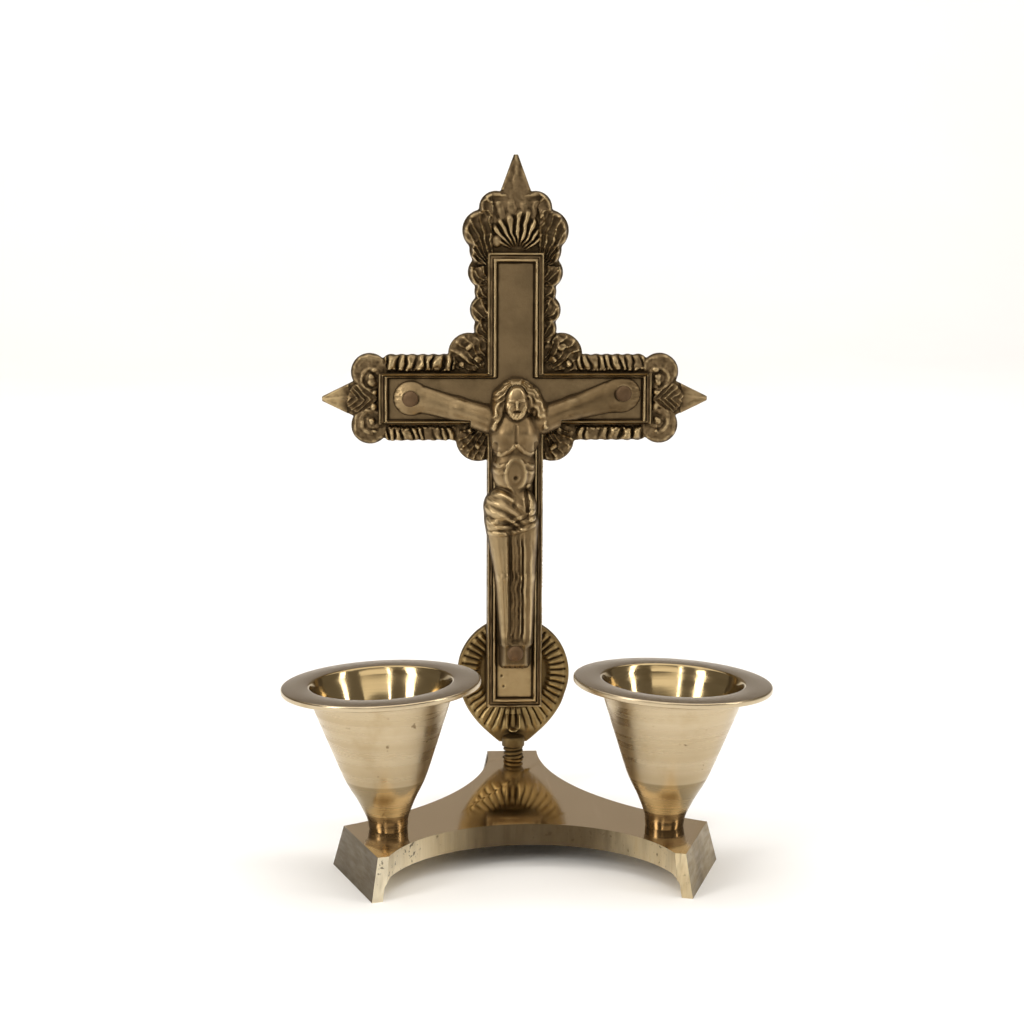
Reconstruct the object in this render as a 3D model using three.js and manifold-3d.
// Small cast-brass standing cross with a figure, on a three-footed base plate with two candle cups.
// Millimetres, +Z up, front towards -Y. The origin is on the ground, under the middle of the outer box.
import * as THREE from 'three';
import { mergeVertices } from 'three/addons/utils/BufferGeometryUtils.js';
import Module from 'manifold-3d';

const wasm = await Module();
wasm.setup();

// ---- Driving dimensions ----

const TOTAL_HEIGHT = 130;
const GAP = 0.3; // left between cast or tilted pieces that touch
const SNUG = 0.1; // left between flat or turned faces that touch
const HOLE_CLEARANCE = 0.2; // on the radius, round each shank

// Base plate, in plan. Y counts from halfway between the line of the cups and the cross.
const PLATE_TOP = 7.6;
const PLATE_THICKNESS = 4;
const HALF_STATION = 24; // from the middle to the cup line, and to the cross
const CUP_X = 25.4;
// Each foot's bend line, the way it faces, and the fillet between it and the plate's underside.
const FRONT_FOOT = { x: 30.4, y: -31.8, width: 20.3, turn: -18.5, fillet: 2.2 };
const BACK_FOOT = { x: 0, y: 28.8, width: 10.2, turn: 90, fillet: 0.6 };
const FRONT_EDGE_MIDDLE = -22.4; // the front edge is an arc through this Y
const SIDE_SAGITTA = 8; // how far each side edge is drawn in from its chord
const FOOT_FLARE = 1.65; // outwards, from the bend to the ground
const FOOT_SPREAD = 1.5; // wider at the ground, at each end
const FOOT_THICKNESS = 2;

// Candle cups
const CUP_HEIGHT = 27.2;
const CUP_RIM_RADIUS = 18.2;
const CUP_MOUTH_RADIUS = 13.1;
const CUP_LIP = 1.1;
const CUP_FOOT_RADIUS = 3.6;
const CUP_FLOOR = 5.2; // height of the floor inside
const CUP_FLOOR_RADIUS = 3;
const CUP_SPLAY = 2.6; // degrees, outwards
const SCREW = { radius: 1.5, head: 2.75, headHeight: 1.6, reach: 4 };
const WASHER = { radius: 3.5, thickness: 0.5 };

// Cross, in its own upright plane, with Z from the ground
const CROSS_BACK = -1.5; // Y of its back face, counted from the neck's axis
const ARM_AXIS = 82;
const ARM_REACH = 38.4;
const ARM_PANEL_END = 25.3;
const ARM_PANEL_HALF = 4.2;
const UPRIGHT_PANEL_HALF = 3.7;
const PANEL_TOP = 109;
const PANEL_BOTTOM = 21;
const MOULDING = 1.9; // width of the raised frame round the panel
const ARM_EDGE_SHARE = 0.5; // the arms' frame is narrower, above and below
const SIDE_SPEAR = { length: 6.2, halfWidth: 3.4 };
const TOP_SPEAR = { length: 8, halfWidth: 3.3 };
const SPEAR_TIP = 0.6; // half the width of a spear's blunt end
const BEADS = { first: 12, pitch: 2.1, count: 7, radius: 1.9 }; // along the arms' borders
const BORDER_THICKNESS = 2.2;
const PANEL_THICKNESS = 2.3;
const FRAME_THICKNESS = 3.2;

// Sunburst with its threaded neck
const SUNBURST_CENTRE = 25.2;
const SUNBURST_RADIUS = 11.4;
const SUNBURST_THICKNESS = 2.4;
const COLLAR_BOTTOM = 10.3;
const COLLAR_RADIUS = 2.3;
const THREAD_RADIUS = 2;
const NECK_BOTTOM = 0.5;
const NUT = { acrossFlats: 7, height: 2.2 };

// Rivets
const NAIL = { head: 1.6, headHeight: 0.7, shank: 0.7 };
const RIVET = { head: 1.2, headHeight: 0.5, shank: 0.8 };
const LEFT_HAND = { x: -20.9, z: 82.2 };
const RIGHT_HAND = { x: 21.4, z: 83.2 };
const FEET = { x: 0, z: 31 };
const HAND_SEAT = 1.5; // height of the nails' seats above the figure's back
const FEET_SEAT = 3;
const RIVETS = { x: 1.9, z: 23.6 };

const radians = THREE.MathUtils.degToRad;
const neckY = HALF_STATION;
const cupY = -HALF_STATION;
const crossBackY = neckY + CROSS_BACK;
const panelY = crossBackY - PANEL_THICKNESS;
const corpusBackY = panelY - GAP;
const TURNED_SIDES = 40;
const SMALL_SIDES = 16;
const LIMB_SIDES = 8;

// ---- Solids ----

function solid(geometry) {
  const bare = geometry.index ? geometry.toNonIndexed() : geometry;
  bare.deleteAttribute('normal');
  bare.deleteAttribute('uv');
  const merged = mergeVertices(bare, 1e-4);
  return new wasm.Manifold(new wasm.Mesh({
    numProp: 3,
    vertProperties: merged.attributes.position.array,
    triVerts: new Uint32Array(merged.index.array),
  }));
}

function joined(solids) {
  return solids.reduce((whole, next) => whole.add(next));
}

function mesh(name, made, material) {
  const { vertProperties, triVerts } = made.getMesh();
  const geometry = new THREE.BufferGeometry();
  geometry.setAttribute('position', new THREE.BufferAttribute(vertProperties, 3));
  geometry.setIndex(new THREE.BufferAttribute(triVerts, 1));
  geometry.computeVertexNormals();
  const result = new THREE.Mesh(geometry, material);
  result.name = name;
  return result;
}

function brass(colour, roughness) {
  return new THREE.MeshStandardMaterial({ color: colour, roughness, metalness: 1 });
}

// A shape drawn in X and Z, extruded towards the front from y = back.
function upright(shape, back, depth) {
  const geometry = new THREE.ExtrudeGeometry(shape, { depth, bevelEnabled: false, curveSegments: 10 });
  geometry.rotateX(Math.PI / 2);
  geometry.translate(0, back, 0);
  return solid(geometry);
}

function uprightBox(x0, x1, z0, z1, back, depth) {
  const geometry = new THREE.BoxGeometry(x1 - x0, depth, z1 - z0);
  geometry.translate((x0 + x1) / 2, back - depth / 2, (z0 + z1) / 2);
  return solid(geometry);
}

function uprightDisc(x, z, radius, back, depth, sides = SMALL_SIDES) {
  const geometry = new THREE.CylinderGeometry(radius, radius, depth, sides);
  geometry.translate(x, back - depth / 2, z);
  return solid(geometry);
}

// A turned piece from [radius, height] pairs, which start and end on the axis or close on themselves.
function turned(profile, sides = TURNED_SIDES) {
  const points = profile.map(([radius, height]) => new THREE.Vector2(radius, height));
  const geometry = new THREE.LatheGeometry(points, sides);
  geometry.rotateX(Math.PI / 2);
  return solid(geometry);
}

function column(x, y, bottom, top, radius, sides = SMALL_SIDES) {
  const geometry = new THREE.CylinderGeometry(radius, radius, top - bottom, sides);
  geometry.rotateX(Math.PI / 2);
  geometry.translate(x, y, (bottom + top) / 2);
  return solid(geometry);
}

// ---- Base plate ----

// The two ends of a foot's bend line, and the way that it faces.
function footEnds(foot) {
  const facing = new THREE.Vector2(Math.cos(radians(foot.turn)), Math.sin(radians(foot.turn)));
  const along = new THREE.Vector2(-facing.y, facing.x).multiplyScalar(foot.width / 2);
  const middle = new THREE.Vector2(foot.x, foot.y);
  return { facing, first: middle.clone().sub(along), last: middle.clone().add(along) };
}

// Points on the arc from start to end that is drawn in, to the left of the way there, by sagitta.
function drawnIn(start, end, sagitta, steps = 20) {
  const chord = end.clone().sub(start);
  const half = chord.length() / 2;
  const radius = (half ** 2 + sagitta ** 2) / (2 * sagitta);
  const left = new THREE.Vector2(-chord.y, chord.x).normalize();
  const centre = start.clone().add(end).multiplyScalar(0.5).addScaledVector(left, sagitta - radius);
  const halfAngle = Math.asin(half / radius);
  return Array.from({ length: steps - 1 }, (_, i) => {
    const angle = halfAngle * (1 - 2 * (i + 1) / steps);
    return left.clone().rotateAround(new THREE.Vector2(), angle).multiplyScalar(radius).add(centre);
  });
}

// Where the front edge leaves the right foot: its blunt front end is as wide as the foot is thick.
function frontCorner() {
  const { facing, first } = footEnds(FRONT_FOOT);
  return first.clone().addScaledVector(facing, -FOOT_THICKNESS);
}

// The plate's plan, with its front edge still straight.
function plateOutline() {
  const right = footEnds(FRONT_FOOT);
  const back = footEnds(BACK_FOOT);
  const corner = frontCorner();
  const mirrored = (point) => new THREE.Vector2(-point.x, point.y);
  const side = drawnIn(right.last, back.first, SIDE_SAGITTA);
  const leftSide = side.map(mirrored).reverse();
  return new THREE.Shape([
    corner, right.first, right.last, ...side, back.first,
    back.last, ...leftSide, mirrored(right.last), mirrored(right.first), mirrored(corner),
  ]);
}

// The drum whose side is the curved front edge. It cuts the plate and the feet's fillets alike.
function frontDrum() {
  const corner = frontCorner();
  const sagitta = FRONT_EDGE_MIDDLE - corner.y;
  const radius = (corner.x ** 2 + sagitta ** 2) / (2 * sagitta);
  return column(0, FRONT_EDGE_MIDDLE - radius, -1, PLATE_TOP + 1, radius, 96);
}

// A foot's section, from the bend outwards and down to the ground.
function footSection(fillet) {
  const underside = PLATE_TOP - PLATE_THICKNESS;
  const filletFoot = underside - fillet;
  const inner = FOOT_FLARE * (1 - filletFoot / PLATE_TOP) - FOOT_THICKNESS;
  const section = new THREE.Shape();
  section.moveTo(0, PLATE_TOP);
  section.lineTo(-FOOT_THICKNESS, PLATE_TOP);
  section.lineTo(inner - fillet, underside);
  section.absarc(inner - fillet, filletFoot, fillet, Math.PI / 2, 0, true);
  section.lineTo(FOOT_FLARE - FOOT_THICKNESS, 0);
  section.lineTo(FOOT_FLARE, 0);
  return section;
}

// A foot is the plate's end, bent down: it flares out and spreads towards the ground.
function footSolid(foot) {
  const geometry = new THREE.ExtrudeGeometry(footSection(foot.fillet), {
    depth: foot.width, bevelEnabled: false, curveSegments: 6,
  });
  geometry.rotateX(Math.PI / 2);
  geometry.translate(0, foot.width / 2, 0);
  const position = geometry.attributes.position;
  for (let i = 0; i < position.count; i++) {
    const spread = 1 + (2 * FOOT_SPREAD / foot.width) * (1 - position.getZ(i) / PLATE_TOP);
    position.setY(i, position.getY(i) * spread);
  }
  geometry.rotateZ(radians(foot.turn));
  geometry.translate(foot.x, foot.y, 0);
  return solid(geometry);
}

function basePlate() {
  const slab = new THREE.ExtrudeGeometry(plateOutline(), { depth: PLATE_THICKNESS, bevelEnabled: false });
  slab.translate(0, 0, PLATE_TOP - PLATE_THICKNESS);
  const leftFoot = { ...FRONT_FOOT, x: -FRONT_FOOT.x, turn: 180 - FRONT_FOOT.turn };
  const body = joined([solid(slab), ...[FRONT_FOOT, leftFoot, BACK_FOOT].map(footSolid)]);
  const screwHoles = [-CUP_X, CUP_X].map((x) =>
    column(x, cupY, 0, PLATE_TOP + 1, SCREW.radius + 2 * HOLE_CLEARANCE));
  const neckHole = column(0, neckY, 0, PLATE_TOP + 1, THREAD_RADIUS + HOLE_CLEARANCE);
  return [frontDrum(), ...screwHoles, neckHole].reduce((plate, cut) => plate.subtract(cut), body);
}

// ---- Candle cups, drawn upright on the plate's top at z = 0 ----

function cup() {
  const wall = turned([
    [0, 0],
    [CUP_FOOT_RADIUS - 0.3, 0],
    [CUP_FOOT_RADIUS, 0.4],
    [3.75, 1.6],
    [4.3, 3.2],
    [5.4, 5.6],
    [7.4, 9.4],
    [9.8, 15.8],
    [12.1, 22.2],
    [13.2, CUP_HEIGHT - CUP_LIP - 0.9],
    [14.2, CUP_HEIGHT - CUP_LIP],
    [CUP_RIM_RADIUS - 0.3, CUP_HEIGHT - CUP_LIP],
    [CUP_RIM_RADIUS, CUP_HEIGHT - CUP_LIP + 0.3],
    [CUP_RIM_RADIUS, CUP_HEIGHT - 0.3],
    [CUP_RIM_RADIUS - 0.3, CUP_HEIGHT],
    [CUP_MOUTH_RADIUS, CUP_HEIGHT],
    [12.2, 25.2],
    [11, 22.2],
    [8.7, 15.8],
    [6.2, 9.4],
    [CUP_FLOOR_RADIUS + 0.8, CUP_FLOOR + 0.6],
    [CUP_FLOOR_RADIUS, CUP_FLOOR],
    [0, CUP_FLOOR],
  ]);
  const tappedHole = column(0, 0, -1, SCREW.reach + GAP, SCREW.radius + HOLE_CLEARANCE);
  return wall.subtract(tappedHole);
}

function cupWasher() {
  const top = -PLATE_THICKNESS - GAP;
  const ring = column(0, 0, top - WASHER.thickness, top, WASHER.radius, 32);
  return ring.subtract(column(0, 0, top - 1, top + 1, SCREW.radius + HOLE_CLEARANCE));
}

function cupScrew() {
  const headTop = -PLATE_THICKNESS - GAP - WASHER.thickness - SNUG;
  const head = column(0, 0, headTop - SCREW.headHeight, headTop, SCREW.head, 32);
  const shank = column(0, 0, headTop - 0.5, SCREW.reach, SCREW.radius);
  const slot = new THREE.BoxGeometry(2 * SCREW.head + 1, 0.8, 0.8);
  slot.translate(0, 0, headTop - SCREW.headHeight);
  return head.add(shank).subtract(solid(slot));
}

// ---- Cross ----

const bothSides = [-1, 1];

// Leaves and scrolls of the pierced-edge border: [x, height above the arm axis, radius].
function borderLobes() {
  const leaves = [
    [5, 13.9, 3.2], [6, 17.6, 3], [5.2, 21.2, 2.9], [6.1, 25, 3.3], // beside the upper arm
    [9.2, 8.9, 4.1], [6.8, 6.5, 2.2], [7.4, -8.2, 4.4], // inner corners
    [28.9, 5.3, 3.7], [28.9, -5.3, 3.7], [29, 0, 3.6], // trefoil end
    [5.6, 29.4, 3.5], [6.4, 33.2, 4.1], [3.9, 37.6, 3.3], [2.2, 33, 4.8], [1, 37, 2.2], // crown
  ];
  const beads = Array.from({ length: BEADS.count }, (_, i) => BEADS.first + BEADS.pitch * i);
  const gadroons = beads.flatMap((x) => [[x, 6.9, BEADS.radius], [x, -6.5, BEADS.radius]]);
  return [...leaves, ...gadroons];
}

// A blunt point that stands on (x, z), turned by so many degrees from upright.
function spear(x, z, turn, { length, halfWidth }) {
  const root = -2; // buried in the border
  const outline = [
    [-halfWidth, root], [halfWidth, root], [halfWidth, 0],
    [SPEAR_TIP, length], [-SPEAR_TIP, length], [-halfWidth, 0],
  ];
  const points = outline.map(([across, along]) => {
    const point = new THREE.Vector2(across, along);
    return point.rotateAround(new THREE.Vector2(), radians(turn)).add(new THREE.Vector2(x, z));
  });
  return upright(new THREE.Shape(points), crossBackY, BORDER_THICKNESS);
}

// The two bars of the cross, wider than the sunk panel by edge all round, and depth thick.
function bars(edge, back, depth) {
  const uprightHalf = UPRIGHT_PANEL_HALF + edge;
  const armEnd = ARM_PANEL_END + edge;
  const armHalf = ARM_PANEL_HALF + edge * ARM_EDGE_SHARE;
  return joined([
    uprightBox(-uprightHalf, uprightHalf, PANEL_BOTTOM - edge, PANEL_TOP + edge, back, depth),
    uprightBox(-armEnd, armEnd, ARM_AXIS - armHalf, ARM_AXIS + armHalf, back, depth),
  ]);
}

function crossSolid() {
  const lobes = bothSides.flatMap((side) => borderLobes().map(([x, z, radius]) =>
    uprightDisc(side * x, ARM_AXIS + z, radius, crossBackY, BORDER_THICKNESS)));
  const spearX = ARM_REACH - SIDE_SPEAR.length;
  const sideSpears = bothSides.map((side) => spear(side * spearX, ARM_AXIS, -90 * side, SIDE_SPEAR));
  const topSpear = spear(0, TOTAL_HEIGHT - TOP_SPEAR.length, 0, TOP_SPEAR);
  const frame = bars(MOULDING, crossBackY, FRAME_THICKNESS);
  const panel = bars(0, panelY, 2);
  const holes = [
    ...nailPlaces().map(([x, z]) =>
      uprightDisc(x, z, NAIL.shank + HOLE_CLEARANCE, crossBackY + 1, FRAME_THICKNESS + 2)),
    ...rivetHoles(crossBackY + 1, FRAME_THICKNESS + 2),
  ];
  const casting = joined([frame, ...lobes, ...sideSpears, topSpear]);
  return [panel, ...holes].reduce((cast, cut) => cast.subtract(cut), casting);
}

// ---- Figure, with a flat back that lies on the cross's panel ----

function ball(x, forward, z, rx, ry, rz, sides = 12) {
  const geometry = new THREE.SphereGeometry(1, sides, Math.round(sides * 2 / 3));
  geometry.scale(rx, ry, rz);
  geometry.translate(x, corpusBackY - forward, z);
  return solid(geometry);
}

// A limb between two [x, forward, z, radius] ends, as a tapered rod with round ends.
function limb([x0, y0, z0, r0], [x1, y1, z1, r1]) {
  const start = new THREE.Vector3(x0, corpusBackY - y0, z0);
  const end = new THREE.Vector3(x1, corpusBackY - y1, z1);
  const way = end.clone().sub(start);
  const rod = new THREE.CylinderGeometry(r1, r0, way.length(), LIMB_SIDES);
  const rodAxis = new THREE.Vector3(0, 1, 0);
  rod.applyQuaternion(new THREE.Quaternion().setFromUnitVectors(rodAxis, way.clone().normalize()));
  const middle = start.clone().add(end).multiplyScalar(0.5);
  rod.translate(middle.x, middle.y, middle.z);
  const roundEnds = [
    ball(x0, y0, z0, r0, r0, r0, LIMB_SIDES),
    ball(x1, y1, z1, r1, r1, r1, LIMB_SIDES),
  ];
  return joined([solid(rod), ...roundEnds]);
}

function headAndTrunk() {
  return [
    ball(0.4, 3.4, 82, 3.5, 3.4, 4.3), // head
    ball(0.2, 1.8, 79, 4.8, 2.6, 5), // hair on the shoulders
    ball(0, 2.2, 74.4, 5.4, 3.4, 6), // chest
    ball(0.2, 2.2, 68, 4.6, 3.6, 5.4), // belly
    ball(-0.8, 2, 59.2, 5.6, 3.8, 4.6), // loincloth
    ball(0, 1.4, FEET.z - 0.4, 3, 2, 3.8), // feet
  ];
}

function arm(side, hand) {
  const shoulder = [side * 5.2, 2, 78.2, 2.5];
  const elbow = [side * 12, 1.4, 80, 2];
  const wrist = [hand.x - side * 4, 1, hand.z - 0.8, 1.9];
  const palm = ball(hand.x, 0.6, hand.z, 3.5, 1.4, 3.4);
  return [limb(shoulder, elbow), limb(elbow, wrist), palm];
}

function leg(side) {
  const hip = [side * 2.5, 2.2, 57.5, 3];
  const knee = [side * 1.9 + 0.2, 2.4, 46, 2.1];
  const ankle = [side * 1.6 + 0.2, 1.4, 34, 1.7];
  return [limb(hip, knee), limb(knee, ankle)];
}

function corpusSolid() {
  const arms = [...arm(-1, LEFT_HAND), ...arm(1, RIGHT_HAND)];
  const body = joined([...headAndTrunk(), ...arms, ...leg(-1), ...leg(1)]);
  const behind = uprightBox(-30, 30, 0, TOTAL_HEIGHT, corpusBackY + 10, 10);
  const holes = nailPlaces().map(([x, z]) =>
    uprightDisc(x, z, NAIL.shank + HOLE_CLEARANCE, corpusBackY + 1, 8));
  const seats = nailPlaces().map(([x, z, seat]) =>
    uprightDisc(x, z, NAIL.head + HOLE_CLEARANCE, corpusBackY - seat, 8));
  const ridges = bars(MOULDING + GAP, crossBackY, FRAME_THICKNESS + GAP).subtract(bars(-GAP, panelY, 2));
  return [behind, ridges, ...holes, ...seats].reduce((cast, cut) => cast.subtract(cut), body);
}

// ---- Rivets ----

// Each nail's [x, z, height of its seat above the figure's back].
function nailPlaces() {
  return [
    [LEFT_HAND.x, LEFT_HAND.z, HAND_SEAT],
    [RIGHT_HAND.x, RIGHT_HAND.z, HAND_SEAT],
    [FEET.x, FEET.z, FEET_SEAT],
  ];
}

function rivetHoles(back, depth) {
  return bothSides.map((side) =>
    uprightDisc(side * RIVETS.x, RIVETS.z, RIVET.shank + HOLE_CLEARANCE, back, depth));
}

// A round-headed pin that points backwards, with the underside of its head at y = 0.
function pin({ head, headHeight, shank }, length) {
  const geometry = new THREE.LatheGeometry([
    new THREE.Vector2(0, -length),
    new THREE.Vector2(shank, -length),
    new THREE.Vector2(shank, 0),
    new THREE.Vector2(head, 0),
    new THREE.Vector2(head * 0.9, headHeight * 0.5),
    new THREE.Vector2(head * 0.55, headHeight * 0.9),
    new THREE.Vector2(0, headHeight),
  ], SMALL_SIDES);
  geometry.rotateX(Math.PI);
  return solid(geometry);
}

function nail(name, [x, z, seat], material) {
  const made = mesh(name, pin(NAIL, seat + GAP + PANEL_THICKNESS), material);
  made.position.set(x, corpusBackY - seat - SNUG, z);
  return made;
}

// Driven from behind, and filed flush with the cross's panel.
function rivet(name, side, material) {
  const headY = neckY + SUNBURST_THICKNESS / 2 + SNUG;
  const made = mesh(name, pin(RIVET, headY - panelY), material);
  made.position.set(side * RIVETS.x, headY, RIVETS.z);
  made.rotation.z = Math.PI;
  return made;
}

// ---- Sunburst and neck ----

function sunburstSolid() {
  const shape = new THREE.Shape();
  const startAngle = radians(-22);
  const bottomHalf = 2.8;
  const shoulderX = SUNBURST_RADIUS * Math.cos(startAngle);
  const shoulderZ = SUNBURST_CENTRE + SUNBURST_RADIUS * Math.sin(startAngle);
  shape.moveTo(bottomHalf, COLLAR_BOTTOM + 0.4);
  shape.quadraticCurveTo(9.4, 16, shoulderX, shoulderZ);
  shape.absarc(0, SUNBURST_CENTRE, SUNBURST_RADIUS, startAngle, Math.PI - startAngle, false);
  shape.quadraticCurveTo(-9.4, 16, -bottomHalf, COLLAR_BOTTOM + 0.4);
  const discBack = neckY + SUNBURST_THICKNESS / 2;
  const disc = new THREE.ExtrudeGeometry(shape, {
    depth: SUNBURST_THICKNESS, bevelEnabled: false, curveSegments: 40,
  });
  disc.rotateX(Math.PI / 2);
  disc.translate(0, discBack, 0);
  const collar = column(0, neckY, COLLAR_BOTTOM, COLLAR_BOTTOM + 3, COLLAR_RADIUS);
  const crossBottom = PANEL_BOTTOM - MOULDING;
  const discFront = neckY - SUNBURST_THICKNESS / 2;
  const clearOfCross = uprightBox(-20, 20, crossBottom - GAP, 50, discFront, 5);
  const neck = column(0, neckY, NECK_BOTTOM, COLLAR_BOTTOM + 1, THREAD_RADIUS);
  const holes = rivetHoles(discBack + 1, SUNBURST_THICKNESS + 2);
  const whole = joined([solid(disc), collar, neck]);
  return [clearOfCross, ...holes].reduce((cast, cut) => cast.subtract(cut), whole);
}

function neckNut() {
  const top = PLATE_TOP - PLATE_THICKNESS - SNUG;
  const geometry = new THREE.CylinderGeometry(1, 1, NUT.height, 6);
  const corner = NUT.acrossFlats / Math.sqrt(3);
  geometry.scale(corner, 1, corner);
  geometry.rotateX(Math.PI / 2);
  geometry.rotateZ(Math.PI / 6);
  geometry.translate(0, neckY, top - NUT.height / 2);
  return solid(geometry).subtract(column(0, neckY, 0, PLATE_TOP, THREAD_RADIUS + HOLE_CLEARANCE));
}

// ---- The whole object ----

const polished = brass(0xb39b78, 0.15);
const turnedBrass = brass(0xcdb387, 0.25);
const antique = brass(0x7a6440, 0.35);
const bright = brass(0x9c8152, 0.35);
const hardware = brass(0xb59a5a, 0.4);

const object = new THREE.Group();
object.add(mesh('base_plate', basePlate(), polished));

for (const [side, label] of [[-1, 'left'], [1, 'right']]) {
  const stack = new THREE.Group();
  const cupMesh = mesh(`cup_${label}`, cup(), turnedBrass);
  cupMesh.position.z = GAP;
  stack.add(cupMesh);
  stack.add(mesh(`cup_screw_${label}`, cupScrew(), hardware));
  stack.add(mesh(`cup_washer_${label}`, cupWasher(), hardware));
  stack.position.set(side * CUP_X, cupY, PLATE_TOP);
  stack.rotation.y = radians(side * CUP_SPLAY);
  object.add(stack);
}

object.add(mesh('sunburst', sunburstSolid(), antique));
object.add(mesh('neck_nut', neckNut(), hardware));
object.add(mesh('cross', crossSolid(), antique));
object.add(mesh('corpus', corpusSolid(), bright));

const [leftNail, rightNail, feetNail] = nailPlaces();
object.add(nail('nail_left_hand', leftNail, antique));
object.add(nail('nail_right_hand', rightNail, antique));
object.add(nail('nail_feet', feetNail, antique));
object.add(rivet('sunburst_rivet_left', -1, hardware));
object.add(rivet('sunburst_rivet_right', 1, hardware));

// The ground points of the feet are the front and back of the outer box.
const { facing, first } = footEnds(FRONT_FOOT);
const frontMost = first.y + facing.y * FOOT_FLARE - Math.cos(radians(FRONT_FOOT.turn)) * FOOT_SPREAD;
const backMost = BACK_FOOT.y + FOOT_FLARE;
object.position.y = -(frontMost + backMost) / 2;

const group = new THREE.Group();
group.add(object);

export default group;
